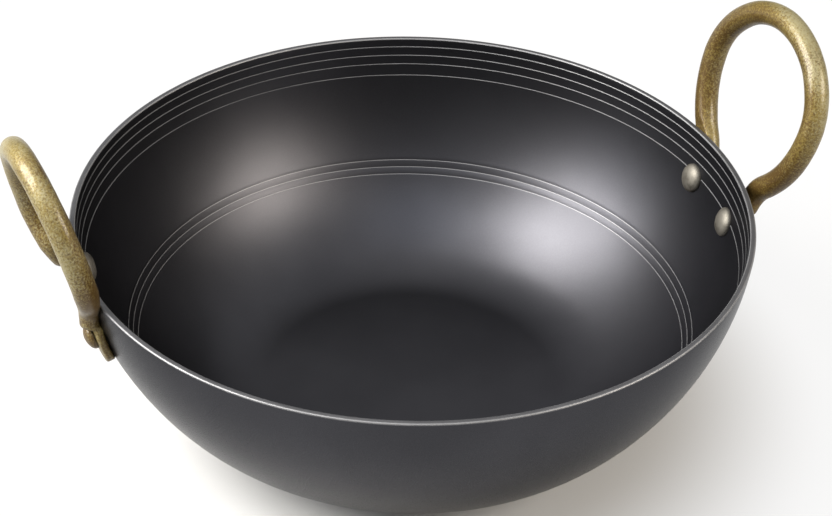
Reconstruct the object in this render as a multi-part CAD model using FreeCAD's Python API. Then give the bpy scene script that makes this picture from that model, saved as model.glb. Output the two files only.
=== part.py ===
import FreeCAD, Part
import math
import os

# A kadai: a deep round cooking bowl of dark sheet metal with a small flat base,
# two loop handles of round rod, bent by hand, and the four rivets that hold them.
# Millimetres, +Z up. The origin is the centre of the base's underside,
# and +X points from there to the right handle.

# Bowl shell: the outer wall is three arcs that meet smoothly, from the rim down to the base.
# A lean is the angle between the wall and the vertical.
RIM_RADIUS = 125.0
WALL = 2.2
RIM_LEAN_DEG = 5.3
SIDE_RADIUS = 107.0
SIDE_END_LEAN_DEG = 38.0
BELLY_RADIUS = 84.0
BELLY_END_LEAN_DEG = 58.0
KNUCKLE_RADIUS = 48.0
FLAT_LEAN_DEG = 90.0
RIM_ROUND = 0.6
RIM_ROUND_MOST_SHARE = 0.4

# Fine lines turned into the inner wall: a band near the rim, one line under it, a band near the floor.
LINE_WIDTH = 0.6
LINE_DEPTH = 0.25
RIM_BAND_DROP = 3.5
RIM_BAND_PITCH = 3.65
RIM_BAND_LINES = 3
LONE_LINE_DROP = 15.5
FLOOR_BAND_DROP = 47.8
FLOOR_BAND_PITCH = 2.4
FLOOR_BAND_LINES = 3

# Rivets: a low dome inside the bowl, a shank, and a smaller dome closed over the handle's pad.
RIVET_DROP = 18.3
RIGHT_RIVET_SPACING = 32.0
LEFT_RIVET_SPACING = 39.2
SHANK_RADIUS = 3.0
RIVET_CLEARANCE = 0.05
HEAD_RADIUS = 5.6
HEAD_HEIGHT = 3.0
HEAD_SEAT = 0.4
SHANK_IN_HEAD_SHARE = 0.4
TAIL_RADIUS = 4.6
TAIL_HEIGHT = 2.8

# Handles: round rod bent to a wide loop, with each end forged to a thin pad on the wall.
ROD_RADIUS = 4.6
LEG_RISE = 8.8
BEND_RADIUS = 11.4
BEND_DEG = 46.0
SHOULDER_DEG = 55.9
# The loops are bent by hand: each is skewed against the wall, and the left one is narrower and upright.
RIGHT_HALF_WIDTH = 32.0
RIGHT_CROWN_RISE = 29.7
RIGHT_UPRIGHT_DEG = -0.1
RIGHT_SKEW_DEG = 9.6
LEFT_HALF_WIDTH = 29.3
LEFT_CROWN_RISE = 36.0
LEFT_UPRIGHT_DEG = 1.6
LEFT_SKEW_DEG = 9.0
PAD_THICKNESS = 3.6
PAD_HALF_WIDTH = 6.5
PAD_TIP_DROP = 12.0
PAD_NECK_RISE = 9.0
PAD_NECK_HALF_WIDTH = 3.5
# Above a pad, the rod's outer face steps out to a shoulder and then widens to the full rod.
STEP_RISE = 4.9
STEP_RADIUS = 1.6
SHOULDER_THICKNESS = 6.6
TAPER_RISE = 21.0

# How far a cutting shape runs past what it cuts
OVERRUN = 3.0

FULL_TURN_DEG = 360.0
HALF_TURN_DEG = 180.0
QUARTER_TURN_DEG = 90.0
UP = FreeCAD.Vector(0, 0, 1)
CENTRE = FreeCAD.Vector(0, 0, 0)


def sine(degrees):
    return math.sin(math.radians(degrees))


def cosine(degrees):
    return math.cos(math.radians(degrees))


class WallArc:
    """One arc of the outer wall's section, between two leans."""

    def __init__(self, centre_r, centre_z, radius, top_lean, low_lean):
        self.centre_r = centre_r
        self.centre_z = centre_z
        self.radius = radius
        self.top_lean = top_lean
        self.low_lean = low_lean

    def point(self, lean, depth):
        """The section's point at a lean, at a depth into the wall from its outer face."""
        reach = self.radius - depth
        return FreeCAD.Vector(self.centre_r + reach * cosine(lean), 0, self.centre_z - reach * sine(lean))

    def lean_at(self, height, depth):
        """The lean where the face at this depth passes a height."""
        return math.degrees(math.asin((self.centre_z - height) / (self.radius - depth)))

    def edge(self, start_lean, end_lean, depth):
        """The arc between two leans on the face at this depth."""
        middle = (start_lean + end_lean) / 2
        ends = (self.point(start_lean, depth), self.point(middle, depth), self.point(end_lean, depth))
        return Part.Arc(*ends).toShape()


def wall_arcs():
    """The three arcs from the rim down, and the bowl's height."""
    spans = (
        (SIDE_RADIUS, RIM_LEAN_DEG, SIDE_END_LEAN_DEG),
        (BELLY_RADIUS, SIDE_END_LEAN_DEG, BELLY_END_LEAN_DEG),
        (KNUCKLE_RADIUS, BELLY_END_LEAN_DEG, FLAT_LEAN_DEG),
    )
    height = sum(radius * (sine(low) - sine(top)) for radius, top, low in spans)
    arcs = []
    r, z = RIM_RADIUS, height
    for radius, top, low in spans:
        arc = WallArc(r - radius * cosine(top), z + radius * sine(top), radius, top, low)
        arcs.append(arc)
        end = arc.point(low, 0)
        r, z = end.x, end.z
    return arcs, height


ARCS, HEIGHT = wall_arcs()
SIDE_ARC = ARCS[0]
BASE_RADIUS = ARCS[-1].point(FLAT_LEAN_DEG, 0).x


def line(start, end):
    return Part.LineSegment(start, end).toShape()


def line_heights():
    """The heights of the turned lines, from the rim down."""
    drops = [RIM_BAND_DROP + RIM_BAND_PITCH * i for i in range(RIM_BAND_LINES)]
    drops.append(LONE_LINE_DROP)
    drops += [FLOOR_BAND_DROP + FLOOR_BAND_PITCH * i for i in range(FLOOR_BAND_LINES)]
    return [HEIGHT - drop for drop in drops]


def inner_edges():
    """The inner wall's section from the rim down to the floor."""
    edges = []
    top = SIDE_ARC.lean_at(HEIGHT, WALL)
    for arc in ARCS:
        edges.append(arc.edge(top, arc.low_lean, WALL))
        top = arc.low_lean
    return edges


def turned(edges):
    """The solid that a closed section in the XZ plane makes when it is turned about Z."""
    return Part.Face(Part.Wire(edges)).revolve(CENTRE, UP, FULL_TURN_DEG)


def outer_edges():
    """The outer section from the base's centre to the rim."""
    edges = [line(CENTRE, FreeCAD.Vector(BASE_RADIUS, 0, 0))]
    for arc in reversed(ARCS):
        edges.append(arc.edge(arc.low_lean, arc.top_lean, 0))
    return edges


def shell():
    """The bowl's plain sheet, with sharp rim edges."""
    rim_outer = FreeCAD.Vector(RIM_RADIUS, 0, HEIGHT)
    rim_inner = SIDE_ARC.point(SIDE_ARC.lean_at(HEIGHT, WALL), WALL)
    floor_edge = FreeCAD.Vector(BASE_RADIUS, 0, WALL)
    floor_centre = FreeCAD.Vector(0, 0, WALL)
    edges = outer_edges()
    edges.append(line(rim_outer, rim_inner))
    edges += inner_edges()
    edges.append(line(floor_edge, floor_centre))
    edges.append(line(floor_centre, CENTRE))
    return turned(edges)


def turned_line(height):
    """The ring that the tool takes out for one line: a V that is widest at the inner face."""
    arc = next(arc for arc in ARCS if height > arc.point(arc.low_lean, WALL).z)
    lean = arc.lean_at(height, WALL)
    spread = math.degrees(LINE_WIDTH / (arc.radius - WALL))
    tip = arc.point(lean, WALL - LINE_DEPTH)
    upper = arc.point(lean - spread, WALL + LINE_DEPTH)
    lower = arc.point(lean + spread, WALL + LINE_DEPTH)
    return turned([line(tip, upper), line(upper, lower), line(lower, tip)])


def filled_bowl():
    """Everything inside the outer wall, up to the rim's level."""
    rim_centre = FreeCAD.Vector(0, 0, HEIGHT)
    edges = outer_edges()
    edges.append(line(FreeCAD.Vector(RIM_RADIUS, 0, HEIGHT), rim_centre))
    edges.append(line(rim_centre, CENTRE))
    return turned(edges)


RIVET_LEAN = SIDE_ARC.lean_at(HEIGHT - RIVET_DROP, 0)
RIVET_POINT = SIDE_ARC.point(RIVET_LEAN, 0)


def rivet_turn(spacing):
    """How far round the wall a rivet stands from the middle of its handle."""
    return math.degrees(math.asin(spacing / 2 / RIVET_POINT.x))


def level_frame(radius, lean, skew):
    """A frame at the rivets' level, skewed about the vertical: X along the wall, Y up at a lean, Z out."""
    out = FreeCAD.Vector(cosine(lean), 0, -sine(lean))
    rise = FreeCAD.Vector(sine(lean), 0, cosine(lean))
    along = rise.cross(out)
    frame = FreeCAD.Matrix(
        along.x, rise.x, out.x, 0,
        along.y, rise.y, out.y, 0,
        along.z, rise.z, out.z, 0,
        0, 0, 0, 1,
    )
    frame.rotateZ(math.radians(skew))
    frame.move(FreeCAD.Vector(radius, 0, RIVET_POINT.z))
    return frame


def rivet_frame(side, spacing):
    """The frame of one rivet on the right: side is -1 at the front and 1 at the rear."""
    frame = level_frame(RIVET_POINT.x, RIVET_LEAN, 0)
    frame.rotateZ(math.radians(side * rivet_turn(spacing)))
    return frame


def loop_frame(spacing, upright, skew):
    """The frame of a loop on the right, midway between its two rivets."""
    return level_frame(RIVET_POINT.x * cosine(rivet_turn(spacing)), RIVET_LEAN - upright, skew)


def placed(shape, frame):
    """A copy of a shape that was made in a frame, at its place in the part."""
    moved = shape.copy()
    moved.Placement = FreeCAD.Placement(frame).multiply(shape.Placement)
    return moved


def loop_arc(centre, radius, start, end):
    """An arc in the loop's plane, by its centre and two angles from local X."""
    angles = (start, (start + end) / 2, end)
    points = [centre + FreeCAD.Vector(radius * cosine(a), radius * sine(a), 0) for a in angles]
    return Part.Arc(*points).toShape()


def mirrored(edges):
    """The same edges on the other side of the loop's middle line."""
    return [edge.mirror(CENTRE, FreeCAD.Vector(1, 0, 0)) for edge in edges]


def loop_path(spacing, half_width, crown_rise):
    """The rod's centre line: up from one pad, out, round the loop and down to the other pad."""
    foot = spacing / 2
    bend_centre = FreeCAD.Vector(foot + BEND_RADIUS, LEG_RISE, ROD_RADIUS)
    bend_end_x = foot + BEND_RADIUS * (1 - cosine(BEND_DEG))
    bend_end_y = LEG_RISE + BEND_RADIUS * sine(BEND_DEG)
    flank_radius = (half_width - bend_end_x) / (1 - cosine(BEND_DEG))
    widest_y = bend_end_y + flank_radius * sine(BEND_DEG)
    flank_centre = FreeCAD.Vector(half_width - flank_radius, widest_y, ROD_RADIUS)
    # Shoulder and crown radii that give the loop its half width and rise, and meet smoothly
    s, c = sine(SHOULDER_DEG), cosine(SHOULDER_DEG)
    determinant = s * c - (1 - s) * (1 - c)
    crown_radius = (half_width * c - crown_rise * (1 - s)) / determinant
    shoulder_radius = (crown_rise * s - half_width * (1 - c)) / determinant
    shoulder_centre = FreeCAD.Vector(half_width - shoulder_radius, widest_y, ROD_RADIUS)
    crown_centre = FreeCAD.Vector(0, widest_y + crown_rise - crown_radius, ROD_RADIUS)
    crown_start = QUARTER_TURN_DEG - SHOULDER_DEG
    start = FreeCAD.Vector(foot, 0, ROD_RADIUS)
    half = [
        line(start, FreeCAD.Vector(foot, LEG_RISE, ROD_RADIUS)),
        loop_arc(bend_centre, BEND_RADIUS, HALF_TURN_DEG, HALF_TURN_DEG - BEND_DEG),
        loop_arc(flank_centre, flank_radius, -BEND_DEG, 0),
        loop_arc(shoulder_centre, shoulder_radius, 0, crown_start),
    ]
    crown = loop_arc(crown_centre, crown_radius, crown_start, HALF_TURN_DEG - crown_start)
    return Part.Wire(half + [crown] + mirrored(half)[::-1]), start


def rod(spacing, half_width, crown_rise):
    path, start = loop_path(spacing, half_width, crown_rise)
    section = Part.Wire(Part.Circle(start, FreeCAD.Vector(0, 1, 0), ROD_RADIUS).toShape())
    return path.makePipeShell([section], True, False)


def pad():
    """One forged end, in its rivet's frame: a round tip below the rivet and a neck up to the rod."""
    tip_centre_y = PAD_HALF_WIDTH - PAD_TIP_DROP
    left = FreeCAD.Vector(-PAD_HALF_WIDTH, tip_centre_y, 0)
    right = FreeCAD.Vector(PAD_HALF_WIDTH, tip_centre_y, 0)
    right_mid = FreeCAD.Vector(PAD_HALF_WIDTH, 0, 0)
    left_mid = FreeCAD.Vector(-PAD_HALF_WIDTH, 0, 0)
    right_neck = FreeCAD.Vector(PAD_NECK_HALF_WIDTH, PAD_NECK_RISE, 0)
    left_neck = FreeCAD.Vector(-PAD_NECK_HALF_WIDTH, PAD_NECK_RISE, 0)
    tip = Part.Arc(left, FreeCAD.Vector(0, -PAD_TIP_DROP, 0), right).toShape()
    outline = [
        tip,
        line(right, right_mid),
        line(right_mid, right_neck),
        line(right_neck, left_neck),
        line(left_neck, left_mid),
        line(left_mid, left),
    ]
    face = Part.Face(Part.Wire(outline))
    face.translate(FreeCAD.Vector(0, 0, -OVERRUN))
    return face.extrude(FreeCAD.Vector(0, 0, OVERRUN + PAD_THICKNESS))


def step(rod_face):
    """What is forged away above one pad: an S from the pad to the shoulder, and a taper to the rod."""
    outside = rod_face + OVERRUN
    half_width = BEND_RADIUS + ROD_RADIUS
    half_step = (SHOULDER_THICKNESS - PAD_THICKNESS) / 2
    swing = math.acos(1 - half_step / STEP_RADIUS)
    half_rise = STEP_RADIUS * math.sin(swing)
    sag = STEP_RADIUS * (1 - math.cos(swing / 2))
    lean = STEP_RADIUS * math.sin(swing / 2)

    def at(y, z):
        return FreeCAD.Vector(-half_width, y, z)

    foot = at(STEP_RISE, PAD_THICKNESS)
    middle = at(STEP_RISE + half_rise, PAD_THICKNESS + half_step)
    head = at(STEP_RISE + 2 * half_rise, SHOULDER_THICKNESS)
    full = at(TAPER_RISE, rod_face)
    low = at(-PAD_TIP_DROP - OVERRUN, PAD_THICKNESS)
    low_out = at(-PAD_TIP_DROP - OVERRUN, outside)
    full_out = at(TAPER_RISE, outside)
    hollow = Part.Arc(foot, at(STEP_RISE + lean, PAD_THICKNESS + sag), middle).toShape()
    swell = Part.Arc(middle, at(head.y - lean, head.z - sag), head).toShape()
    outline = [
        line(low, foot),
        hollow,
        swell,
        line(head, full),
        line(full, full_out),
        line(full_out, low_out),
        line(low_out, low),
    ]
    return Part.Face(Part.Wire(outline)).extrude(FreeCAD.Vector(2 * half_width, 0, 0))


def hole():
    """The drilling for one rivet through the wall and the pad, in the rivet's frame."""
    length = OVERRUN + WALL + PAD_THICKNESS + OVERRUN
    start = FreeCAD.Vector(0, 0, -OVERRUN - WALL)
    return Part.makeCylinder(SHANK_RADIUS + RIVET_CLEARANCE, length, start, UP)


def dome(radius, height):
    """A spherical cap that stands on its flat face at the origin, along Z."""
    ball = (radius * radius + height * height) / (2 * height)
    half_deg = math.degrees(math.asin(min(1.0, radius / ball))) / 2
    side = FreeCAD.Vector(radius, 0, 0)
    top = FreeCAD.Vector(0, 0, height)
    middle = FreeCAD.Vector(ball * sine(half_deg), 0, height - ball + ball * cosine(half_deg))
    return turned([line(CENTRE, side), Part.Arc(side, middle, top).toShape(), line(top, CENTRE)])


def rivet(side, spacing, plain_wall):
    """One rivet on the right: its inner head follows the wall that it is drawn up against."""
    head = dome(HEAD_RADIUS, HEAD_HEIGHT)
    head.rotate(CENTRE, FreeCAD.Vector(1, 0, 0), HALF_TURN_DEG)
    head = head.fuse(Part.makeCylinder(HEAD_RADIUS, HEAD_SEAT))
    head.translate(FreeCAD.Vector(0, 0, -WALL))
    frame = rivet_frame(side, spacing)
    head = placed(head, frame).cut(plain_wall)
    shank_end = WALL + HEAD_HEIGHT * SHANK_IN_HEAD_SHARE
    shank_start = FreeCAD.Vector(0, 0, -shank_end)
    shank = Part.makeCylinder(SHANK_RADIUS, shank_end + PAD_THICKNESS, shank_start, UP)
    tail = dome(TAIL_RADIUS, TAIL_HEIGHT)
    tail.translate(FreeCAD.Vector(0, 0, PAD_THICKNESS))
    return head.fuse([placed(shank, frame), placed(tail, frame)]).removeSplitter()


def handle(spacing, half_width, crown_rise, upright, skew):
    """A handle on the right, seated on the wall. A skew takes its rear leg in and its front leg out."""
    bent = placed(rod(spacing, half_width, crown_rise), loop_frame(spacing, upright, skew))
    cuts = [filled_bowl()]
    pads = []
    for side in (-1, 1):
        frame = rivet_frame(side, spacing)
        rod_face = 2 * ROD_RADIUS - side * spacing / 2 * sine(skew)
        pads.append(placed(pad(), frame))
        cuts.append(placed(step(rod_face), frame))
        cuts.append(placed(hole(), frame))
    return bent.fuse(pads).cut(cuts).removeSplitter()


def opposite(shape):
    """The same piece on the left, half a turn about Z away."""
    turned_copy = shape.copy()
    turned_copy.rotate(CENTRE, UP, HALF_TURN_DEG)
    return turned_copy


def bowl():
    """The bowl with its rounded rim, turned lines and four drilled holes."""
    sheet = shell()
    rim = [edge for edge in sheet.Edges if edge.BoundBox.ZMin > HEIGHT - RIM_ROUND]
    sheet = sheet.makeFillet(min(RIM_ROUND, WALL * RIM_ROUND_MOST_SHARE), rim)
    holes = [placed(hole(), rivet_frame(side, RIGHT_RIVET_SPACING)) for side in (-1, 1)]
    holes += [opposite(placed(hole(), rivet_frame(side, LEFT_RIVET_SPACING))) for side in (-1, 1)]
    return sheet.cut([turned_line(height) for height in line_heights()] + holes)


def build():
    plain_wall = shell()
    right_loop = (RIGHT_HALF_WIDTH, RIGHT_CROWN_RISE, RIGHT_UPRIGHT_DEG, RIGHT_SKEW_DEG)
    left_loop = (LEFT_HALF_WIDTH, LEFT_CROWN_RISE, LEFT_UPRIGHT_DEG, LEFT_SKEW_DEG)
    return {
        "bowl": bowl(),
        "handle_right": handle(RIGHT_RIVET_SPACING, *right_loop),
        "handle_left": opposite(handle(LEFT_RIVET_SPACING, *left_loop)),
        "rivet_right_front": rivet(-1, RIGHT_RIVET_SPACING, plain_wall),
        "rivet_right_rear": rivet(1, RIGHT_RIVET_SPACING, plain_wall),
        "rivet_left_front": opposite(rivet(1, LEFT_RIVET_SPACING, plain_wall)),
        "rivet_left_rear": opposite(rivet(-1, LEFT_RIVET_SPACING, plain_wall)),
    }


os.makedirs("parts", exist_ok=True)
for name, shape in build().items():
    solid = shape.Solids[0]
    box = solid.BoundBox
    print(name, len(shape.Solids), solid.isValid(), round(solid.Volume, 1),
          [round(v, 2) for v in (box.XMin, box.YMin, box.ZMin, box.XMax, box.YMax, box.ZMax)])
    solid.exportStep("parts/" + name + ".step")
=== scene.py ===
"""A kadai: a deep bowl of dark sheet iron with turned lines, two brass loop handles and four rivets.

Metres, +Z up. The origin is the centre of the base's underside and +X points to the right handle.
"""

import math
from typing import NamedTuple

import bpy
from bpy.props import FloatProperty, FloatVectorProperty, IntProperty, PointerProperty
from mathutils import Matrix, Vector, noise


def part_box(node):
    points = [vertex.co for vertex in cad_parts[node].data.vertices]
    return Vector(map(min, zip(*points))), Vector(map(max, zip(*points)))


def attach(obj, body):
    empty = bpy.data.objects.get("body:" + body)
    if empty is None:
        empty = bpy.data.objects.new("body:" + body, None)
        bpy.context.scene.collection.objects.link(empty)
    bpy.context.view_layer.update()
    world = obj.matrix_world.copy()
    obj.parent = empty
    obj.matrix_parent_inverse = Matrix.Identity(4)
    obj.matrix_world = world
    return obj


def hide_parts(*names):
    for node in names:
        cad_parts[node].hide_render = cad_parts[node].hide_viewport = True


bl_info = {
    "name": "Kadai",
    "version": (1, 0, 0),
    "blender": (4, 5, 0),
    "location": "3D View > Sidebar > Kadai",
    "description": "Builds a kadai with its bowl, loop handles and rivets, and a plain stage for it",
    "category": "Add Mesh",
}

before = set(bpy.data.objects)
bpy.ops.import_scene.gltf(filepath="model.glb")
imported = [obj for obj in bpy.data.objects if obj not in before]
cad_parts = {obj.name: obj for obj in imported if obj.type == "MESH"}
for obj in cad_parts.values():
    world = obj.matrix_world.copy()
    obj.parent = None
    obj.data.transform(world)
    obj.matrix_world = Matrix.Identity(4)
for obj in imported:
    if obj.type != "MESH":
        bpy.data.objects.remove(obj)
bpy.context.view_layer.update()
BOWL_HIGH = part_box("bowl")[1]
BODY = "root"
MM = 0.001


def length(name, description, millimetres):
    """A length property, with its default given in millimetres."""
    return FloatProperty(
        name=name,
        description=description,
        default=millimetres * MM,
        subtype="DISTANCE",
        unit="LENGTH",
        precision=5,
    )


def angle(name, description, degrees):
    """An angle property, with its default given in degrees."""
    return FloatProperty(
        name=name,
        description=description,
        default=math.radians(degrees),
        subtype="ANGLE",
        unit="ROTATION",
    )


def whole_number(name, description, number, least):
    """A whole number property that can't go below the least."""
    return IntProperty(name=name, description=description, default=number, min=least)


def lens(name, description, millimetres):
    """A property of the camera's lens or sensor, in millimetres."""
    return FloatProperty(name=name, description=description, default=millimetres, unit="CAMERA")


def colour(name, description, red, green, blue):
    """A colour property, in linear light."""
    return FloatVectorProperty(
        name=name,
        description=description,
        default=(red, green, blue),
        subtype="COLOR",
        size=3,
        min=0,
        max=1,
    )


class KadaiBowl(bpy.types.PropertyGroup):
    """Sizes of the bowl. A lean is the angle between the wall and the vertical."""

    rim_radius: length("Rim radius", "Outer radius of the rim", BOWL_HIGH.x / MM)
    wall: length("Wall", "Thickness of the sheet", 2.2)
    rim_lean: angle("Rim lean", "Lean of the wall at the rim", 5.3)
    side_radius: length("Side radius", "Radius of the wall's upper arc", 107)
    side_end_lean: angle("Side end lean", "Lean where the upper arc ends", 38)
    belly_radius: length("Belly radius", "Radius of the wall's middle arc", 84)
    belly_end_lean: angle("Belly end lean", "Lean where the middle arc ends", 58)
    knuckle_radius: length("Knuckle radius", "Radius of the wall's lowest arc, above the base", 48)
    rim_round: length("Rim round", "Radius of the rim's two broken edges", 0.6)
    line_width: length("Line width", "Width of a turned line", 0.5)
    line_depth: length("Line depth", "Depth of a turned line near the rim", 0.25)
    floor_line_depth: length("Floor line depth", "Depth of a turned line near the floor", 0.045)
    rim_band_drop: length("Rim band drop", "First line of the upper band, below the rim", 3.5)
    rim_band_pitch: length("Rim band pitch", "Step between the upper band's lines", 3.65)
    rim_band_lines: whole_number("Rim band lines", "Lines in the upper band", 3, 0)
    lone_line_drop: length("Lone line drop", "The single line, below the rim", 15.5)
    floor_band_drop: length("Floor band drop", "First line of the lower band, below the rim", 47.8)
    floor_band_pitch: length("Floor band pitch", "Step between the lower band's lines", 2.4)
    floor_band_lines: whole_number("Floor band lines", "Lines in the lower band", 3, 0)
    turn_steps: whole_number("Turn steps", "Flats in one turn of the bowl", 360, 24)
    grid: length("Grid", "Longest step of the mesh along the wall's section", 2)


class KadaiRivet(bpy.types.PropertyGroup):
    """Sizes of the rivets and their places on the wall."""

    drop: length("Drop", "Height of the rivets, below the rim", 18.3)
    right_spacing: length("Right spacing", "Distance between the right handle's rivets", 32)
    left_spacing: length("Left spacing", "Distance between the left handle's rivets", 39.2)
    head_radius: length("Head radius", "Radius of the dome inside the bowl", 5.6)
    head_height: length("Head height", "Height of the dome inside the bowl", 3.0)
    shank_radius: length("Shank radius", "Radius of the shank", 3.0)
    tail_radius: length("Tail radius", "Radius of the dome over the handle's pad", 4.6)
    tail_height: length("Tail height", "Height of the dome over the handle's pad", 2.8)
    hammer: length("Hammer marks", "How far the hammer has left the domes uneven", 0.12)


class KadaiHandle(bpy.types.PropertyGroup):
    """Sizes of the loop handles."""

    rod_radius: length("Rod radius", "Radius of the round rod", 4.6)
    leg_rise: length("Leg rise", "Straight run above the rivet", 8.8)
    bend_radius: length("Bend radius", "Radius of the outward bend above the leg", 11.4)
    bend: angle("Bend", "Turn of the outward bend", 46)
    crown_half_turn: angle("Crown half turn", "Turn of the crown arc on each side of the top", 55.9)
    right_half_width: length("Right half width", "From the loop's middle to its rod's middle", 32)
    right_crown_rise: length("Right crown rise", "Rise of the crown above the loop's widest place", 29.7)
    right_upright: angle("Right upright", "How much steeper than the wall it stands", -0.1)
    right_skew: angle("Right skew", "Turn about the vertical that takes the rear leg in", 9.6)
    left_half_width: length("Left half width", "From the loop's middle to its rod's middle", 29.3)
    left_crown_rise: length("Left crown rise", "Rise of the crown above the loop's widest place", 36)
    left_upright: angle("Left upright", "How much steeper than the wall it stands", 1.6)
    left_skew: angle("Left skew", "Turn about the vertical that takes the front leg in", 9)
    pad_thickness: length("Pad thickness", "Thickness of the forged end", 3.6)
    pad_half_width: length("Pad half width", "Half of the forged end's width", 6.5)
    pad_tip_drop: length("Pad tip drop", "The forged end's tip, below the rivet", 12)
    pad_edge: length("Pad edge", "Rounding of the forged end's tip", 1.6)
    step_foot: length("Step foot", "Where the forged step starts, above the rivet", 4.9)
    step_rise: length("Step rise", "Height of the forged step, from the pad to its shoulder", 2.2)
    shoulder: length("Shoulder", "Thickness at the top of the forged step", 7.6)
    taper_rise: length("Taper rise", "Where the rod gets its full thickness, above the rivet", 28)
    uneven: length("Uneven", "How far the hand-worked rod strays from a true round", 0.14)
    seat: length("Seat", "How far the pad is pressed against the wall", 0.05)
    ring_steps: whole_number("Ring steps", "Flats around the rod", 44, 12)
    grid: length("Grid", "Longest step of the mesh along the rod", 0.6)


class KadaiFinish(bpy.types.PropertyGroup):
    """Colours of the finishes."""

    iron: colour("Iron", "Blackened iron", 0.043, 0.043, 0.048)
    iron_bloom: colour("Iron bloom", "Paler bloom on the iron", 0.054, 0.054, 0.060)
    land: colour("Rim land", "Ground iron on top of the rim", 0.15, 0.15, 0.157)
    bright: colour("Bright metal", "Bare metal on the rim's edges", 0.168, 0.168, 0.173)
    cut: colour("Cut metal", "Bare metal in the upper turned lines", 0.12, 0.12, 0.124)
    floor_cut: colour("Floor cut metal", "Bare metal in the lower turned lines", 0.16, 0.16, 0.165)
    brass: colour("Brass", "Aged brass", 0.152, 0.110, 0.027)
    # The pale and dark brass also carry painted light and shade: paler where a handle faces up or out,
    # browner where it faces down, back at the bowl or at its foot
    brass_pale: colour("Pale brass", "Worn brass on the high places", 0.215, 0.190, 0.102)
    brass_dark: colour("Dark brass", "Brown patina", 0.062, 0.034, 0.006)
    pewter: colour("Pewter", "Nickel grey rivet heads", 0.18, 0.168, 0.145)
    pewter_dark: colour("Dark pewter", "Dull streaks on the rivet heads", 0.10, 0.09, 0.075)
    floor: colour("Floor", "Pale floor", 0.48, 0.48, 0.48)


class KadaiView(bpy.types.PropertyGroup):
    """The camera, set to the photograph's view of the rim's centre."""

    azimuth: angle("Azimuth", "Turn of the camera about the bowl, from looking along +Y", -17.77)
    elevation: angle("Elevation", "Height of the camera as an angle above the rim's plane", 34.101)
    distance: length("Distance", "From the camera to the rim's centre", 859.5)
    pan: angle("Pan", "Turn to the right from the rim's centre", 0.095)
    tilt: angle("Tilt", "Turn upwards from the rim's centre", -1.236)
    roll: angle("Roll", "Turn about the line of sight", -1.366)
    focal: lens("Focal length", "Focal length of the lens", 101.67)
    sensor: lens("Sensor width", "Width of the sensor", 36)


# Meshes


def mesh_object(name, points, faces, finishes, face_finishes, sharp=None):
    """A smooth mesh piece with one material slot for each finish."""
    mesh = bpy.data.meshes.new(name)
    mesh.from_pydata(points, [], faces)
    for material in finishes:
        mesh.materials.append(material)
    mesh.polygons.foreach_set("material_index", face_finishes)
    mesh.shade_smooth()
    if sharp is not None:
        mesh.set_sharp_from_angle(angle=sharp)
    mesh.update()
    if mesh.validate():
        raise RuntimeError(name + " has faults in its mesh")
    piece = bpy.data.objects.new(name, mesh)
    bpy.context.scene.collection.objects.link(piece)
    return piece


def rings_to_faces(rings, steps, bands):
    """Faces between neighbouring rings of points, where a ring of one point closes an end."""
    faces = []
    face_bands = []
    for low, high, band in zip(rings, rings[1:], bands):
        for i in range(steps):
            j = (i + 1) % steps
            corners = [low[i % len(low)], low[j % len(low)], high[j % len(high)], high[i % len(high)]]
            faces.append(list(dict.fromkeys(corners)))
            face_bands.append(band)
    return faces, face_bands


def lathe(profile, steps):
    """Points, faces and bands of a profile turned about Z. Its points are radius, height and band."""
    points = []
    rings = []
    for radius, height, _ in profile:
        count = steps if radius > 0 else 1
        ring = []
        for i in range(count):
            turn = math.tau * i / steps
            ring.append(len(points))
            points.append((radius * math.cos(turn), radius * math.sin(turn), height))
        rings.append(ring)
    faces, bands = rings_to_faces(rings, steps, [band for _, _, band in profile])
    return points, faces, bands


def arc_steps(span, radius, grid):
    """How many steps of at most the grid's length an arc takes."""
    return max(2, math.ceil(abs(span) * radius / grid))


def between(start, end, share):
    return start + (end - start) * share


def eased(low, high, value):
    """0 below low, 1 above high, and an S between them."""
    share = min(1.0, max(0.0, (value - low) / (high - low)))
    return share * share * (3 - 2 * share)


# Bowl


class WallArc:
    """One arc of the outer wall's section, between two leans."""

    def __init__(self, centre_r, centre_z, radius, top_lean, low_lean):
        self.centre_r = centre_r
        self.centre_z = centre_z
        self.radius = radius
        self.top_lean = top_lean
        self.low_lean = low_lean

    def point(self, lean, depth):
        """Radius and height at a lean, at a depth into the wall from its outer face."""
        reach = self.radius - depth
        return self.centre_r + reach * math.cos(lean), self.centre_z - reach * math.sin(lean)

    def lean_at(self, height, depth):
        return math.asin((self.centre_z - height) / (self.radius - depth))


def wall_arcs(sizes):
    """The wall's three arcs from the rim down, and the bowl's height."""
    spans = (
        (sizes.side_radius, sizes.rim_lean, sizes.side_end_lean),
        (sizes.belly_radius, sizes.side_end_lean, sizes.belly_end_lean),
        (sizes.knuckle_radius, sizes.belly_end_lean, math.pi / 2),
    )
    height = sum(radius * (math.sin(low) - math.sin(top)) for radius, top, low in spans)
    arcs = []
    r, z = sizes.rim_radius, height
    for radius, top, low in spans:
        arc = WallArc(r - radius * math.cos(top), z + radius * math.sin(top), radius, top, low)
        arcs.append(arc)
        r, z = arc.point(low, 0)
    return arcs, height


IRON, OUTER, LAND, BRIGHT, CUT, FLOOR_CUT = range(6)
ROUND_STEPS = 8
BRIGHT_HALF_SHARE = 0.3
BASE_RINGS = 6
RIM_SHARP = math.radians(24)


def band_drops(first, pitch, lines):
    """How far below the rim each line of a band is."""
    return [first + pitch * i for i in range(lines)]


def turned_lines(sizes):
    """How far below the rim each turned line is, its depth and its finish."""
    upper = band_drops(sizes.rim_band_drop, sizes.rim_band_pitch, sizes.rim_band_lines)
    lower = band_drops(sizes.floor_band_drop, sizes.floor_band_pitch, sizes.floor_band_lines)
    lines = [(drop, sizes.line_depth, CUT) for drop in [*upper, sizes.lone_line_drop]]
    return lines + [(drop, sizes.floor_line_depth, FLOOR_CUT) for drop in lower]


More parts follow.
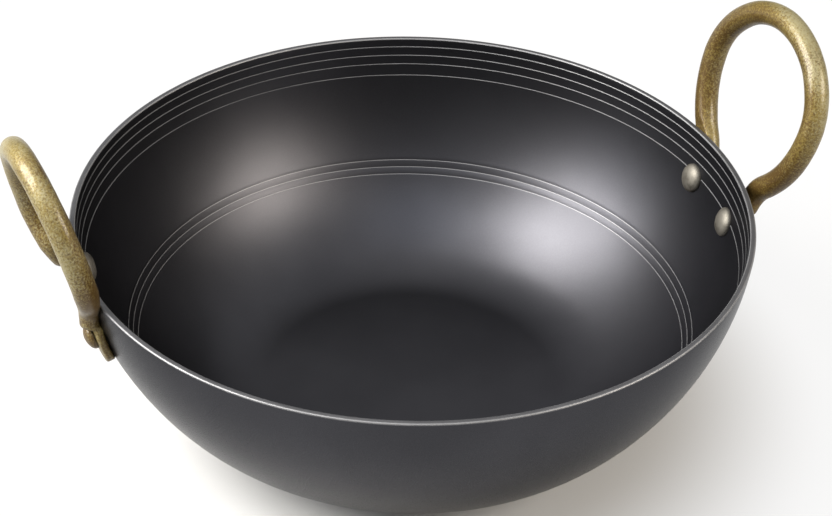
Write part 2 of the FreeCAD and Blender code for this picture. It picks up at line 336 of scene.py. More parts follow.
def disc_rings(radius, height, finish):
    """Profile points of a flat disc, from its edge to its centre."""
    rings = [(radius * (1 - i / BASE_RINGS), height, finish) for i in range(BASE_RINGS)]
    return rings + [(0, height, finish)]


def rim_edge(arc, height, depth, edge_round, start, end):
    """Profile points of one rounded edge of the rim, between two angles from the horizontal."""
    lean = arc.lean_at(height - edge_round, depth)
    centre_r, centre_z = arc.point(lean, depth)
    points = []
    for i in range(ROUND_STEPS + 1):
        share = i / ROUND_STEPS
        turn = between(start, end, share)
        finish = BRIGHT if abs(share - 0.5) < BRIGHT_HALF_SHARE else LAND
        out = edge_round * math.cos(turn)
        up = edge_round * math.sin(turn)
        points.append((centre_r + out, centre_z + up, finish))
    return points


def inner_points(arc, top_lean, sizes, height):
    """Profile points of the inner wall along one arc, with the turned lines that fall on it."""
    reach = arc.radius - sizes.wall
    half = sizes.line_width / 2 / reach
    low = arc.point(arc.low_lean, sizes.wall)[1]
    top = arc.point(top_lean, sizes.wall)[1]
    lines = []
    for drop, depth, finish in turned_lines(sizes):
        if low < height - drop < top:
            lines.append((arc.lean_at(height - drop, sizes.wall), depth, finish))
    marks = []
    steps = arc_steps(arc.low_lean - top_lean, reach, sizes.grid)
    for i in range(steps):
        lean = between(top_lean, arc.low_lean, i / steps)
        if all(abs(lean - cut) > 2 * half for cut, _, _ in lines):
            marks.append((lean, sizes.wall, IRON))
    # Each line's bare metal lies on its lower, upward-facing flank only, and the upper flank keeps the
    # iron: real cut metal, but placed as a painted lit flank beside a shaded one
    for cut, depth, finish in lines:
        marks.append((cut - half, sizes.wall, IRON))
        marks.append((cut, sizes.wall - depth, finish))
        marks.append((cut + half, sizes.wall, IRON))
    return [(*arc.point(lean, depth), band) for lean, depth, band in sorted(marks)]


def bowl_profile(sizes):
    """The bowl's section from the base's centre, up the outside, over the rim and down the inside."""
    arcs, height = wall_arcs(sizes)
    side = arcs[0]
    base_radius = arcs[-1].point(math.pi / 2, 0)[0]
    profile = disc_rings(base_radius, 0, OUTER)[::-1]
    outer_lean = side.lean_at(height - sizes.rim_round, sizes.rim_round)
    for arc in reversed(arcs):
        top = outer_lean if arc is side else arc.top_lean
        steps = arc_steps(arc.low_lean - top, arc.radius, sizes.grid)
        leans = [between(arc.low_lean, top, i / steps) for i in range(1, steps + 1)]
        profile += [(*arc.point(lean, 0), OUTER) for lean in leans]
    profile.pop()
    inner_depth = sizes.wall - sizes.rim_round
    inner_lean = side.lean_at(height - sizes.rim_round, inner_depth)
    profile += rim_edge(side, height, sizes.rim_round, sizes.rim_round, -outer_lean, math.pi / 2)
    inner = rim_edge(side, height, inner_depth, sizes.rim_round, math.pi / 2, math.pi - inner_lean)
    profile += inner[:-1]
    top = inner_lean
    for arc in arcs:
        profile += inner_points(arc, top, sizes, height)
        top = arc.low_lean
    return profile + disc_rings(base_radius, sizes.wall, IRON)


# Handles and rivets


def wall_frame(turn, radius, lean, height, skew):
    """A frame on the outer wall, skewed about the vertical: X along the wall, Y up at a lean, Z out."""
    out = Vector((math.cos(lean), 0, -math.sin(lean)))
    rise = Vector((math.sin(lean), 0, math.cos(lean)))
    along = rise.cross(out)
    axes = Matrix.Rotation(skew, 4, "Z") @ Matrix((along, rise, out)).transposed().to_4x4()
    axes.translation = (radius, 0, height)
    return Matrix.Rotation(turn, 4, "Z") @ axes


class HandlePlaces:
    """Where one handle's rivets and loop are: hand is 0 on the right, and 1 a half turn from there."""

    def __init__(self, bowl, rivet, hand):
        arcs, height = wall_arcs(bowl)
        self.hand = hand
        self.side = arcs[0]
        self.lean = self.side.lean_at(height - rivet.drop, 0)
        self.radius, self.height = self.side.point(self.lean, 0)
        self.foot = (rivet.left_spacing if hand else rivet.right_spacing) / 2
        self.turn = math.asin(self.foot / self.radius)

    def rivet_frame(self, end):
        """The frame of the rivet at one end, -1 or 1 along the wall."""
        turn = math.pi * self.hand + end * self.turn
        return wall_frame(turn, self.radius, self.lean, self.height, skew=0)

    def loop_frame(self, upright, skew):
        chord_radius = self.radius * math.cos(self.turn)
        return wall_frame(math.pi * self.hand, chord_radius, self.lean - upright, self.height, skew)

    def outside(self, point, seat):
        """The point or, where it is inside the wall, the place straight out from it on the wall."""
        least = self.side.point(self.side.lean_at(point.z, 0), 0)[0] - seat
        reach = math.hypot(point.x, point.y)
        if reach >= least:
            return point
        return Vector((point.x * least / reach, point.y * least / reach, point.z))

    def fall(self, x, y):
        """How far the round wall falls away from its tangent plane at a rivet."""
        return x * x / (2 * self.radius / math.cos(self.lean)) + y * y / (2 * self.side.radius)


def loop_runs(sizes, foot, half_width, crown_rise):
    """Radius and turn of the arcs of half a loop, from the leg to the top."""
    bend_end = foot + sizes.bend_radius * (1 - math.cos(sizes.bend))
    flank = (half_width - bend_end) / (1 - math.cos(sizes.bend))
    sine = math.sin(sizes.crown_half_turn)
    cosine = math.cos(sizes.crown_half_turn)
    determinant = sine * cosine - (1 - sine) * (1 - cosine)
    crown = (half_width * cosine - crown_rise * (1 - sine)) / determinant
    shoulder = (crown_rise * sine - half_width * (1 - cosine)) / determinant
    return (
        (sizes.bend_radius, sizes.bend),
        (flank, -sizes.bend),
        (shoulder, sizes.crown_half_turn - math.pi / 2),
        (crown, -sizes.crown_half_turn),
    )


def arc_place(x, y, heading, radius, turn):
    """The place and heading after a turn along an arc, towards x where the turn is positive."""
    reach = math.copysign(radius, turn)
    end = heading + turn
    along = x + reach * (math.cos(heading) - math.cos(end))
    up = y + reach * (math.sin(end) - math.sin(heading))
    return along, up, end


def loop_stations(sizes, foot, half_width, crown_rise):
    """Places along the rod's middle: x along the wall, y up it, heading from y and way from the end."""
    start = -sizes.pad_tip_drop
    run = sizes.leg_rise - start
    steps = math.ceil(run / sizes.grid)
    stations = []
    for i in range(steps):
        share = 1 - math.cos(math.pi / 2 * i / steps)
        stations.append((foot, start + run * share, 0.0, run * share))
    x, y, heading, way = foot, sizes.leg_rise, 0.0, run
    for radius, turn in loop_runs(sizes, foot, half_width, crown_rise):
        steps = arc_steps(turn, radius, sizes.grid)
        for i in range(steps):
            place = arc_place(x, y, heading, radius, turn * i / steps)
            stations.append((*place, way + abs(turn) * radius * i / steps))
        x, y, heading = arc_place(x, y, heading, radius, turn)
        way += abs(turn) * radius
    other = [(-x, y, -math.pi - heading, way) for x, y, heading, way in reversed(stations)]
    return stations + [(x, y, heading, way)] + other


ROD_POWER = 2.0
PAD_POWER = 4.5
NECK_SHARE = 1.5
SETTLE_SHARE = 3.2
UNEVEN_SCALE = 85.0
UNEVEN_FINE_SCALE = 230.0
UNEVEN_FINE_SHARE = 0.45


def thickness(sizes, y):
    """From the wall to the outer face at a height over the rivet: pad, step, taper and full rod."""
    top = sizes.step_foot + sizes.step_rise
    if y < top:
        return between(sizes.pad_thickness, sizes.shoulder, eased(sizes.step_foot, top, y))
    full = 2 * (sizes.rod_radius - sizes.uneven)
    return between(sizes.shoulder, full, min(1.0, (y - top) / (sizes.taper_rise - top)))


def section(sizes, way):
    """Half width, half thickness and squareness of the rod at a way from its end."""
    y = way - sizes.pad_tip_drop
    tip_centre = sizes.pad_half_width - sizes.pad_tip_drop
    rod_radius = sizes.rod_radius - sizes.uneven
    half_width = between(sizes.pad_half_width, rod_radius, eased(0, NECK_SHARE * sizes.step_foot, y))
    if y < tip_centre:
        reach = sizes.pad_half_width
        half_width = math.sqrt(max(0.0, reach * reach - (tip_centre - y) ** 2))
    half_thick = thickness(sizes, y) / 2
    rod = min(1.0, (2 * half_thick - sizes.pad_thickness) / (sizes.shoulder - sizes.pad_thickness))
    if way < sizes.pad_edge:
        half_thick *= math.sqrt(1 - (1 - way / sizes.pad_edge) ** 2)
    return half_width, half_thick, between(PAD_POWER, ROD_POWER, rod)


def squared(value, power):
    """One coordinate of a rounded square: a circle at power 2, squarer above it."""
    return math.copysign(abs(value) ** (2 / power), value)


def handle_points(sizes, places):
    """Rings of points around the rod, with its forged ends bent to the wall."""
    if places.hand:
        loop = places.loop_frame(sizes.left_upright, sizes.left_skew)
        stations = loop_stations(sizes, places.foot, sizes.left_half_width, sizes.left_crown_rise)
    else:
        loop = places.loop_frame(sizes.right_upright, sizes.right_skew)
        stations = loop_stations(sizes, places.foot, sizes.right_half_width, sizes.right_crown_rise)
    settled = sizes.pad_tip_drop + SETTLE_SHARE * sizes.step_foot
    rings = []
    points = []
    for x, y, heading, way in stations:
        end = math.copysign(1, x)
        pad = places.rivet_frame(end)
        half_width, half_thick, power = section(sizes, way)
        middle = sizes.pad_thickness / 2 if way < sizes.pad_edge else half_thick
        on_wall = 1 - eased(sizes.pad_tip_drop, settled, way)
        count = sizes.ring_steps if half_width > 0 else 1
        ring = []
        for i in range(count):
            turn = math.tau * i / sizes.ring_steps
            across = half_width * squared(math.cos(turn), power)
            out = middle + half_thick * squared(math.sin(turn), power)
            along = x + across * math.cos(heading)
            up = y - across * math.sin(heading)
            place = Vector((along, up, out - sizes.seat))
            tangent = Vector((place.x - end * places.foot, place.y, place.z))
            tangent.z -= places.fall(tangent.x, tangent.y)
            point = (loop @ place).lerp(pad @ tangent, on_wall)
            ring.append(len(points))
            points.append(places.outside(point, sizes.seat))
        rings.append(ring)
    return points, rings


def uneven(points, rings, amount):
    """Moves each ring's points in or out by a slow, worked unevenness."""
    moved = list(points)
    for ring in rings:
        centre = sum((points[i] for i in ring), Vector()) / len(ring)
        for i in ring:
            slow = noise.noise(points[i] * UNEVEN_SCALE)
            fine = noise.noise(points[i] * UNEVEN_FINE_SCALE)
            out = points[i] - centre
            if out.length > 0:
                moved[i] = points[i] + out.normalized() * amount * (slow + UNEVEN_FINE_SHARE * fine)
    return moved


DOME_STEPS = 14
DOME_TURN_STEPS = 56
DOME_EDGE_SHARE = 0.16
DOME_SHARP = math.radians(50)
# Without a seed, noise_vector would give other values in each run
HAMMER_SEED = 1
HEAD, TAIL = range(2)
# Rivets by name: hand is 0 on the right and 1 on the left, and end is -1 or 1 along the wall
RIVET_SPOTS = (
    ("right_front", 0, -1),
    ("right_rear", 0, 1),
    ("left_front", 1, 1),
    ("left_rear", 1, -1),
)


def dome_profile(radius, height, base, way, band):
    """Profile points of a dome from its edge to its top, on a base level, along or against Z."""
    points = []
    for i in range(DOME_STEPS + 1):
        turn = math.pi / 2 * i / DOME_STEPS
        rise = DOME_EDGE_SHARE * height + (1 - DOME_EDGE_SHARE) * height * math.sin(turn)
        points.append((radius * math.cos(turn), base + way * rise, band))
    points[-1] = (0, points[-1][1], band)
    return [(radius, base, band)] + points


def rivet_profile(sizes, wall, pad_thickness, seat):
    """A rivet along Z, with its origin on the wall's outer face: head, shank and tail."""
    head = dome_profile(sizes.head_radius, sizes.head_height + seat, seat - wall, -1, HEAD)
    tail = dome_profile(sizes.tail_radius, sizes.tail_height, pad_thickness, 1, TAIL)
    shank = [(sizes.shank_radius, seat - wall, HEAD), (sizes.shank_radius, pad_thickness, TAIL)]
    return head[::-1] + shank + tail


def hammered(points, amount, number):
    """Leaves the domes of a numbered rivet a little uneven, as a hammer does."""
    noise.seed_set(HAMMER_SEED)
    moved = []
    for point in points:
        place = Vector(point)
        shift = noise.noise_vector(place * UNEVEN_FINE_SCALE + Vector((number, 0, 0)))
        moved.append(place + shift * amount)
    return moved


# Shader node groups


def new_group(name, inputs, outputs):
    """An empty shader node group with float inputs and outputs."""
    group = bpy.data.node_groups.new(name, "ShaderNodeTree")
    for label, value in inputs.items():
        socket = group.interface.new_socket(label, in_out="INPUT", socket_type="NodeSocketFloat")
        socket.default_value = value
    for label in outputs:
        group.interface.new_socket(label, in_out="OUTPUT", socket_type="NodeSocketFloat")
    return group, group.nodes.new("NodeGroupInput"), group.nodes.new("NodeGroupOutput")


def noise_node(tree, detail, roughness):
    """A noise texture in the piece's own coordinates."""
    place = tree.nodes.new("ShaderNodeTexCoord")
    texture = tree.nodes.new("ShaderNodeTexNoise")
    texture.inputs["Detail"].default_value = detail
    texture.inputs["Roughness"].default_value = roughness
    tree.links.new(place.outputs["Object"], texture.inputs["Vector"])
    return texture


def feed(tree, socket, value):
    """Links a socket to another node's output, or gives it a plain value."""
    if isinstance(value, bpy.types.NodeSocket):
        tree.links.new(value, socket)
    else:
        socket.default_value = value


def math_node(tree, operation, first, second):
    """A math node with links or numbers as its two inputs."""
    node = tree.nodes.new("ShaderNodeMath")
    node.operation = operation
    feed(tree, node.inputs[0], first)
    feed(tree, node.inputs[1], second)
    return node.outputs["Value"]


def stepped(tree, value, low, high):
    """A smooth step of a value, from 0 at the low mark to 1 at the high one."""
    node = tree.nodes.new("ShaderNodeMapRange")
    node.interpolation_type = "SMOOTHSTEP"
    feed(tree, node.inputs["Value"], value)
    feed(tree, node.inputs["From Min"], low)
    feed(tree, node.inputs["From Max"], high)
    return node.outputs["Result"]


def grain_group():
    """Fine grain: a height, and a roughness that wanders between two values."""
    inputs = {"Scale": 2000.0, "Smooth": 0.35, "Rough": 0.45}
    group, given, result = new_group("Fine grain", inputs, ("Height", "Roughness"))
    texture = noise_node(group, detail=3.0, roughness=0.6)
    spread = group.nodes.new("ShaderNodeMapRange")
    group.links.new(given.outputs["Scale"], texture.inputs["Scale"])
    group.links.new(texture.outputs["Fac"], spread.inputs["Value"])
    group.links.new(given.outputs["Smooth"], spread.inputs["To Min"])
    group.links.new(given.outputs["Rough"], spread.inputs["To Max"])
    group.links.new(texture.outputs["Fac"], result.inputs["Height"])
    group.links.new(spread.outputs["Result"], result.inputs["Roughness"])
    return group


def patina_group():
    """Patina: a mask of slow patches broken up by fine specks."""
    inputs = {
        "Patch Scale": 60.0,
        "Speck Scale": 900.0,
        "Speck Share": 0.4,
        "Low": 0.45,
        "High": 0.6,
        "Bias": 0.0,
    }
    group, given, result = new_group("Patina", inputs, ("Mask",))
    patches = noise_node(group, detail=3.0, roughness=0.55)
    specks = noise_node(group, detail=4.0, roughness=0.65)
    group.links.new(given.outputs["Patch Scale"], patches.inputs["Scale"])
    group.links.new(given.outputs["Speck Scale"], specks.inputs["Scale"])
    share = given.outputs["Speck Share"]
    speck_part = math_node(group, "MULTIPLY", specks.outputs["Fac"], share)
    patch_share = math_node(group, "SUBTRACT", 1.0, share)
    patch_part = math_node(group, "MULTIPLY", patches.outputs["Fac"], patch_share)
    both = math_node(group, "ADD", speck_part, patch_part)
    both = math_node(group, "ADD", both, given.outputs["Bias"])
    mask = stepped(group, both, given.outputs["Low"], given.outputs["High"])
    group.links.new(mask, result.inputs["Mask"])
    return group


# Sums of the outward and upward facing where a handle is in the open and where it is in the shade
OPEN_FACING = 1.0
SHADED_FACING = -1.0


def shaded_side_group():
    """Shaded side: painted shade on a handle, 1 where it looks down or back at the bowl, 0 where it looks
    up or out.

    The foot's share of painted shade, next to the wall, comes in from its top down. Reach is the handle's
    distance from the bowl's axis.
    """
    inputs = {"Reach": 0.13, "Foot Top": 0.108, "Foot": 0.084, "Foot Share": 0.45}
    group, given, result = new_group("Shaded side", inputs, ("Mask",))
    place = group.nodes.new("ShaderNodeTexCoord")
    point = group.nodes.new("ShaderNodeSeparateXYZ")
    facing = group.nodes.new("ShaderNodeSeparateXYZ")
    group.links.new(place.outputs["Object"], point.inputs["Vector"])
    group.links.new(place.outputs["Normal"], facing.inputs["Vector"])
    side = math_node(group, "DIVIDE", point.outputs["X"], given.outputs["Reach"])
    outward = math_node(group, "MULTIPLY", side, facing.outputs["X"])
    open_side = math_node(group, "ADD", outward, facing.outputs["Z"])
    shaded = stepped(group, open_side, OPEN_FACING, SHADED_FACING)
    # Painted shade at the foot, where the handle meets the wall
    foot = stepped(group, point.outputs["Z"], given.outputs["Foot Top"], given.outputs["Foot"])
    painted_foot_shade = math_node(group, "MULTIPLY", foot, given.outputs["Foot Share"])
    both = math_node(group, "ADD", shaded, painted_foot_shade)
    group.links.new(both, result.inputs["Mask"])
    return group


def shared_group(name, make):
    """A node group that is built once and then shared."""
    return bpy.data.node_groups.get(name) or make()


def new_material(name, metallic):
    """A material with a Principled shader and its node tree."""
    material = bpy.data.materials.new(name)
    material.use_nodes = True
    shader = material.node_tree.nodes["Principled BSDF"]
    shader.inputs["Metallic"].default_value = metallic
    return material, material.node_tree, shader


def place_group(tree, group, **values):
    """A node group in a material, with its own input values."""
    node = tree.nodes.new("ShaderNodeGroup")
    node.node_tree = group
    for label, value in values.items():
        node.inputs[label.replace("_", " ").title()].default_value = value
    return node


def add_grain(tree, shader, depth, **values):
    """Fine grain on a material: its roughness, and a bump of a depth in metres."""
    grain = place_group(tree, shared_group("Fine grain", grain_group), **values)
    bump = tree.nodes.new("ShaderNodeBump")
    bump.inputs["Distance"].default_value = depth
    tree.links.new(grain.outputs["Height"], bump.inputs["Height"])
    tree.links.new(grain.outputs["Roughness"], shader.inputs["Roughness"])
    tree.links.new(bump.outputs["Normal"], shader.inputs["Normal"])


def patina_mask(tree, bias=None, **values):
    """A patina's mask, which a bias from another node can spread."""
    patina = place_group(tree, shared_group("Patina", patina_group), **values)
    if bias is not None:
        tree.links.new(bias, patina.inputs["Bias"])
    return patina.outputs["Mask"]


def mixed(tree, mask, first, second):
    """A colour that goes from the first to the second where the mask is 1."""
    node = tree.nodes.new("ShaderNodeMix")
    node.data_type = "RGBA"
    tree.links.new(mask, node.inputs["Factor"])
    for label, value in (("A", first), ("B", second)):
        socket = next(s for s in node.inputs if s.name == label and s.type == "RGBA")
        if isinstance(value, bpy.types.NodeSocket):
            tree.links.new(value, socket)
        else:
            socket.default_value = (*value, 1)
    return next(s for s in node.outputs if s.type == "RGBA")


# Finishes

LAND_DULL_SHARE = 0.75
CUT_DULL_SHARE = 0.7
BRASS_METALLIC = 0.45
# Shares of the shaded-side mask in the brass: painted shade that browns a handle where it faces down or at
# the bowl, and keeps pale wear off there
PAINTED_SHADE_BROWN_SHARE = 0.1
PAINTED_SHADE_UNWORN_SHARE = 0.1
BRASS_GLOSS = {
    "Specular IOR Level": 0.2,
    "Coat Weight": 0.4,
    "Coat Roughness": 0.22,
    "Sheen Weight": 0.03,
    "Sheen Roughness": 0.4,
    "Sheen Tint": (0.86, 0.9, 0.74, 1),
}


def iron_material(name, colours, edge, smooth, rough):
    """Blackened iron: dark satin with a faint bloom and a fine grain. Edge is its grey at a flat angle."""
    material, tree, shader = new_material(name, metallic=1.0)
    shader.inputs["Specular Tint"].default_value = (edge, edge, edge, 1)
    bloom = {"patch_scale": 16.0, "speck_scale": 1400.0, "speck_share": 0.25, "low": 0.35, "high": 0.68}
    mask = patina_mask(tree, **bloom)
    tree.links.new(mixed(tree, mask, colours.iron, colours.iron_bloom), shader.inputs["Base Color"])
    add_grain(tree, shader, depth=0.02 * MM, scale=2600.0, smooth=smooth, rough=rough)
    return material


def land_material(colours):
    """Ground iron on top of the rim."""
    material, tree, shader = new_material("ground_rim", metallic=1.0)
    mask = patina_mask(tree, patch_scale=90.0, speck_scale=1800.0, speck_share=0.5, low=0.35, high=0.7)
    darker = [LAND_DULL_SHARE * channel for channel in colours.land]
    tree.links.new(mixed(tree, mask, colours.land, darker), shader.inputs["Base Color"])
    add_grain(tree, shader, depth=0.02 * MM, scale=3000.0, smooth=0.4, rough=0.55)
    return material


def bright_material(name, base, metallic, smooth, rough):
    """Bare cut metal, a little dulled in patches."""
    material, tree, shader = new_material(name, metallic)
    mask = patina_mask(tree, patch_scale=45.0, speck_scale=1500.0, speck_share=0.3, low=0.4, high=0.75)
    duller = [CUT_DULL_SHARE * channel for channel in base]
    tree.links.new(mixed(tree, mask, base, duller), shader.inputs["Base Color"])
    add_grain(tree, shader, depth=0.01 * MM, scale=2400.0, smooth=smooth, rough=rough)
    return material


def brass_material(name, colours, brown_low, brown_high):
    """Aged brass: sandy mottling, pale wear and brown patina in places, under a thin lacquer, with painted
    shade that makes it browner and less pale where a handle faces down, back at the bowl or at its foot.

    The brown comes in between its low and high marks, so lower marks give more of it.
    """
    material, tree, shader = new_material(name, BRASS_METALLIC)
    for label, value in BRASS_GLOSS.items():
        shader.inputs[label].default_value = value
    shaded = place_group(tree, shared_group("Shaded side", shaded_side_group)).outputs["Mask"]
    # The brown patina and the pale wear are spread by painted shade from the shaded-side mask
    painted_shade_brown = math_node(tree, "MULTIPLY", shaded, PAINTED_SHADE_BROWN_SHARE)
    painted_shade_unworn = math_node(tree, "MULTIPLY", shaded, -PAINTED_SHADE_UNWORN_SHARE)
    wear = {"patch_scale": 38.0, "speck_scale": 1300.0, "speck_share": 0.6, "low": 0.4, "high": 0.58}
    wear_and_painted_light = patina_mask(tree, painted_shade_unworn, **wear)
    patches = {"patch_scale": 46.0, "speck_scale": 1400.0, "speck_share": 0.68}
    brown = patina_mask(tree, painted_shade_brown, **patches, low=brown_low, high=brown_high)
    base = mixed(tree, wear_and_painted_light, colours.brass, colours.brass_pale)
    tree.links.new(mixed(tree, brown, base, colours.brass_dark), shader.inputs["Base Color"])
    add_grain(tree, shader, depth=0.1 * MM, scale=1900.0, smooth=0.5, rough=0.68)
    return material


def pewter_material(colours):
    """Nickel grey rivet metal with dull streaks."""
    material, tree, shader = new_material("pewter_steel", metallic=1.0)
    dull = patina_mask(tree, patch_scale=210.0, speck_scale=900.0, speck_share=0.3, low=0.46, high=0.66)
    tree.links.new(mixed(tree, dull, colours.pewter, colours.pewter_dark), shader.inputs["Base Color"])
    add_grain(tree, shader, depth=0.06 * MM, scale=1300.0, smooth=0.52, rough=0.68)
    return material


# Stage


class Softbox(NamedTuple):
    """A lamp: turn to the right from the line of sight and rise in degrees, lengths in metres."""

    name: str
    turn: float
    rise: float
    distance: float
    width: float
    depth: float
    radiance: float
    tint: tuple


LAMPS = (
    Softbox("left_softbox", -99, 41, 1.25, width=0.7, depth=0.98, radiance=23.5, tint=(1, 0.975, 0.93)),
    Softbox("left_low_softbox", -94, 17, 1.25, width=0.5, depth=0.36, radiance=5, tint=(0.95, 0.97, 1)),
    Softbox("right_softbox", 113, 31, 1.25, width=0.62, depth=0.5, radiance=16.5, tint=(1, 0.91, 0.79)),
    Softbox("front_top_softbox", -165, 66, 1.3, width=0.8, depth=0.6, radiance=1.1, tint=(0.65, 0.77, 1)),
)
WHITE = (1, 1, 1)
FLOOR_RADIUS = 4.0
FLOOR_DROP = 0.2 * MM
FLOOR_RINGS = 8
FLOOR_TURN_STEPS = 96
FLOOR_ROUGHNESS = 0.9
WALL_GREY = 0.14
CEILING_GREY = 1.0
AMBIENT = 0.55
# Sines of the height angles between which the background turns to wall, and the wall to ceiling
WALL_SHARES = (0.0, 0.12)
CEILING_SHARES = (0.38, 0.75)
FLOOR_GLOW_SHARE = 0.85
# Distances from the part's axis between which the floor's own white comes in. Nearer the part the floor
# has no glow, a painted ring of shade around the base
FLOOR_GLOW_REACH = (0.09, 0.165)


def sight_axes(view):
    """The camera's level directions away from it and to its right."""
    away = Vector((-math.sin(view.azimuth), math.cos(view.azimuth), 0))
    right = Vector((math.cos(view.azimuth), math.sin(view.azimuth), 0))
    return away, right


def make_camera(view, height):
    """The camera at the photograph's place, aimed at the rim's centre, then panned, tilted and rolled."""
    away, right = sight_axes(view)
    up = Vector((0, 0, 1))
    centre = Vector((0, 0, height))
    place = centre + (up * math.sin(view.elevation) - away * math.cos(view.elevation)) * view.distance
    ahead = (centre - place).normalized()
    top = right.cross(ahead)
    panned = ahead * math.cos(view.pan) + right * math.sin(view.pan)
    right = right * math.cos(view.pan) - ahead * math.sin(view.pan)
    ahead = panned * math.cos(view.tilt) + top * math.sin(view.tilt)
    top = top * math.cos(view.tilt) - panned * math.sin(view.tilt)
    rolled_right = right * math.cos(view.roll) - top * math.sin(view.roll)
    rolled_top = right * math.sin(view.roll) + top * math.cos(view.roll)
    data = bpy.data.cameras.new("photo_view")
    data.lens = view.focal
    data.sensor_width = view.sensor
    camera = bpy.data.objects.new("photo_view", data)
    turned = Matrix((rolled_right, rolled_top, -ahead)).transposed().to_4x4()
    turned.translation = place
    camera.matrix_world = turned
    bpy.context.scene.collection.objects.link(camera)
    bpy.context.scene.camera = camera


def make_lamp(view, target, softbox):
    """A soft rectangular lamp that faces the target."""
    away, right = sight_axes(view)
    turn = math.radians(softbox.turn)
    rise = math.radians(softbox.rise)
    level = away * math.cos(turn) + right * math.sin(turn)
    direction = level * math.cos(rise) + Vector((0, 0, math.sin(rise)))
    data = bpy.data.lights.new(softbox.name, "AREA")
    data.shape = "RECTANGLE"
    data.size = softbox.width
    data.size_y = softbox.depth
    data.energy = softbox.radiance * math.pi * softbox.width * softbox.depth
    data.color = softbox.tint
    lamp = bpy.data.objects.new(softbox.name, data)
    lamp.location = target + direction * softbox.distance
    lamp.rotation_euler = (-direction).to_track_quat("-Z", "Y").to_euler()
    bpy.context.scene.collection.objects.link(lamp)


def seen_ray(tree):
    """1 for rays that show the background: from the camera, or by way of gloss or glass."""
    path = tree.nodes.new("ShaderNodeLightPath")
    seen = math_node(tree, "MAXIMUM", path.outputs["Is Camera Ray"], path.outputs["Is Glossy Ray"])
    return math_node(tree, "MAXIMUM", seen, path.outputs["Is Transmission Ray"])


def make_world():
    """White at the horizon, grey walls and a white ceiling, where rays show them, and weak fill light."""
    world = bpy.data.worlds.new("studio")
    bpy.context.scene.world = world
    world.use_nodes = True
    tree = world.node_tree
    tree.nodes.clear()
    place = tree.nodes.new("ShaderNodeTexCoord")
    split = tree.nodes.new("ShaderNodeSeparateXYZ")
    tree.links.new(place.outputs["Generated"], split.inputs["Vector"])
    rise = split.outputs["Z"]
    tone = mixed(tree, stepped(tree, rise, *WALL_SHARES), WHITE, (WALL_GREY,) * 3)
    tone = mixed(tree, stepped(tree, rise, *CEILING_SHARES), tone, (CEILING_GREY,) * 3)
    backdrop = tree.nodes.new("ShaderNodeBackground")
    tree.links.new(tone, backdrop.inputs["Color"])
    fill = tree.nodes.new("ShaderNodeBackground")
    fill.inputs["Strength"].default_value = AMBIENT
    fill.inputs["Color"].default_value = (*WHITE, 1)
    both = tree.nodes.new("ShaderNodeMixShader")
    tree.links.new(seen_ray(tree), both.inputs["Fac"])
    tree.links.new(fill.outputs["Background"], both.inputs[1])
    tree.links.new(backdrop.outputs["Background"], both.inputs[2])
    result = tree.nodes.new("ShaderNodeOutputWorld")
    tree.links.new(both.outputs["Shader"], result.inputs["Surface"])


def make_floor(colours):
    """A pale floor that the part stands on: it looks nearly white and keeps the part's shadow. Near the
    part its white glow fades out, which paints a darker ring of shade around the base.
    """
    material, tree, shader = new_material("pale_floor", metallic=0.0)
    shader.inputs["Specular IOR Level"].default_value = 0.0
    shader.inputs["Base Color"].default_value = (*colours.floor, 1)
    shader.inputs["Roughness"].default_value = FLOOR_ROUGHNESS
    glow = tree.nodes.new("ShaderNodeEmission")
    glow.inputs["Color"].default_value = (*WHITE, 1)
    both = tree.nodes.new("ShaderNodeMixShader")
    place = tree.nodes.new("ShaderNodeTexCoord")
    reach = tree.nodes.new("ShaderNodeVectorMath")
    reach.operation = "LENGTH"
    tree.links.new(place.outputs["Object"], reach.inputs[0])
    share = math_node(tree, "MULTIPLY", seen_ray(tree), FLOOR_GLOW_SHARE)
    # The glow fades out near the part: painted shade around the base
    share = math_node(tree, "MULTIPLY", share, stepped(tree, reach.outputs["Value"], *FLOOR_GLOW_REACH))
    tree.links.new(share, both.inputs["Fac"])
    tree.links.new(shader.outputs["BSDF"], both.inputs[1])
    tree.links.new(glow.outputs["Emission"], both.inputs[2])
    tree.links.new(both.outputs["Shader"], tree.nodes["Material Output"].inputs["Surface"])
    profile = [(FLOOR_RADIUS * i / FLOOR_RINGS, -FLOOR_DROP, 0) for i in range(FLOOR_RINGS + 1)]
    points, faces, bands = lathe(profile, FLOOR_TURN_STEPS)
    floor = mesh_object("floor", points, faces, [material], bands)


# Operators


class KADAI_OT_bowl(bpy.types.Operator):
    """Build the spun bowl with its rim and turned lines"""

    bl_idname = "kadai.bowl"
    bl_label = "Bowl"

    def execute(self, context):
        sizes = context.scene.kadai_bowl
        colours = context.scene.kadai_finish
        points, faces, bands = lathe(bowl_profile(sizes), sizes.turn_steps)
        finishes = [
            iron_material("blackened_iron", colours, edge=0.46, smooth=0.35, rough=0.43),
            iron_material("rolled_iron", colours, edge=0.7, smooth=0.24, rough=0.32),
            land_material(colours),
            bright_material("bright_edge", colours.bright, metallic=0.5, smooth=0.4, rough=0.52),
            bright_material("cut_line", colours.cut, metallic=0.5, smooth=0.4, rough=0.52),
            bright_material("floor_line", colours.floor_cut, metallic=0.6, smooth=0.42, rough=0.52),
        ]
        bowl = mesh_object("spun_bowl", points, faces, finishes, bands, RIM_SHARP)
        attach(bowl, BODY)
        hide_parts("bowl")
        return {"FINISHED"}


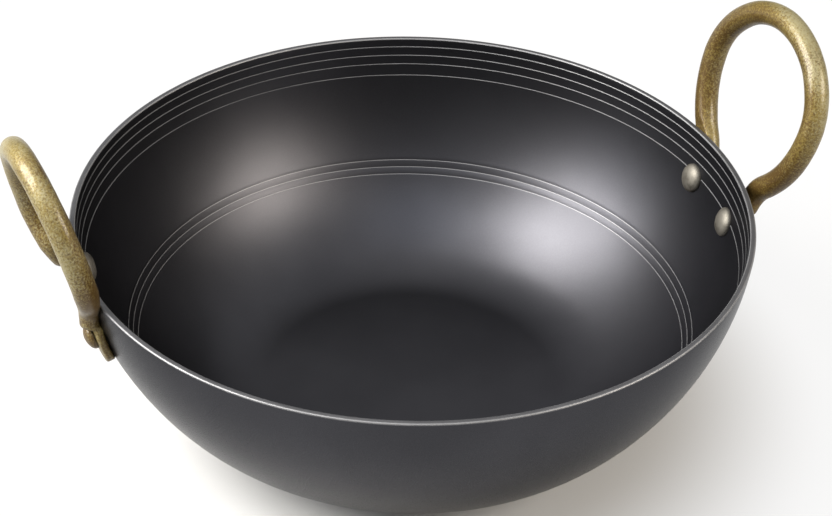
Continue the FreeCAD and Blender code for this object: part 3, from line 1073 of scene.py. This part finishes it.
class KADAI_OT_handles(bpy.types.Operator):
    """Build the two loop handles with their forged ends"""

    bl_idname = "kadai.handles"
    bl_label = "Handles"

    def execute(self, context):
        sizes = context.scene.kadai_handle
        colours = context.scene.kadai_finish
        brass = brass_material("antique_brass", colours, brown_low=0.45, brown_high=0.66)
        for hand, side in enumerate(("right", "left")):
            places = HandlePlaces(context.scene.kadai_bowl, context.scene.kadai_rivet, hand)
            points, rings = handle_points(sizes, places)
            points = uneven(points, rings, sizes.uneven)
            faces, bands = rings_to_faces(rings, sizes.ring_steps, [0] * len(rings))
            handle = mesh_object("loop_" + side, points, faces, [brass], bands)
            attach(handle, BODY)
            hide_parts("handle_" + side)
        return {"FINISHED"}


class KADAI_OT_rivets(bpy.types.Operator):
    """Build the four rivets"""

    bl_idname = "kadai.rivets"
    bl_label = "Rivets"

    def execute(self, context):
        sizes = context.scene.kadai_rivet
        wall = context.scene.kadai_bowl.wall
        pad = context.scene.kadai_handle.pad_thickness
        colours = context.scene.kadai_finish
        brown_brass = brass_material("brown_brass", colours, brown_low=0.42, brown_high=0.55)
        finishes = [pewter_material(colours), brown_brass]
        profile = rivet_profile(sizes, wall, pad, sizes.hammer)
        for number, (name, hand, end) in enumerate(RIVET_SPOTS):
            points, faces, bands = lathe(profile, DOME_TURN_STEPS)
            points = hammered(points, sizes.hammer, number)
            place = HandlePlaces(context.scene.kadai_bowl, sizes, hand).rivet_frame(end)
            points = [place @ point for point in points]
            rivet = mesh_object("domed_rivet_" + name, points, faces, finishes, bands, DOME_SHARP)
            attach(rivet, BODY)
            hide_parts("rivet_" + name)
        return {"FINISHED"}


class KADAI_OT_stage(bpy.types.Operator):
    """Set up the floor, the lamps, the background and the camera"""

    bl_idname = "kadai.stage"
    bl_label = "Stage"

    def execute(self, context):
        view = context.scene.kadai_view
        context.scene.view_settings.view_transform = "Standard"
        make_floor(context.scene.kadai_finish)
        make_world()
        target = Vector((0, 0, BOWL_HIGH.z / 2))
        for lamp in LAMPS:
            make_lamp(view, target, lamp)
        make_camera(view, BOWL_HIGH.z)
        return {"FINISHED"}


class KADAI_PT_sidebar(bpy.types.Panel):
    """The kadai's sizes, colours and builders"""

    bl_idname = "KADAI_PT_sidebar"
    bl_label = "Kadai"
    bl_space_type = "VIEW_3D"
    bl_region_type = "UI"
    bl_category = "Kadai"

    def draw(self, context):
        for operator in OPERATORS:
            self.layout.operator(operator.bl_idname)
        for name, group in GROUPS.items():
            box = self.layout.box()
            box.label(text=group.__name__)
            values = getattr(context.scene, name)
            for label in group.__annotations__:
                box.prop(values, label)


GROUPS = {
    "kadai_bowl": KadaiBowl,
    "kadai_rivet": KadaiRivet,
    "kadai_handle": KadaiHandle,
    "kadai_finish": KadaiFinish,
    "kadai_view": KadaiView,
}
OPERATORS = (KADAI_OT_bowl, KADAI_OT_handles, KADAI_OT_rivets, KADAI_OT_stage)
CLASSES = (*GROUPS.values(), *OPERATORS, KADAI_PT_sidebar)


def register():
    for item in CLASSES:
        bpy.utils.register_class(item)
    for name, group in GROUPS.items():
        setattr(bpy.types.Scene, name, PointerProperty(type=group))


def unregister():
    for name in GROUPS:
        delattr(bpy.types.Scene, name)
    for item in reversed(CLASSES):
        bpy.utils.unregister_class(item)


def main():
    register()
    bpy.ops.kadai.bowl()
    bpy.ops.kadai.handles()
    bpy.ops.kadai.rivets()
    bpy.ops.kadai.stage()


if __name__ == "__main__":
    main()
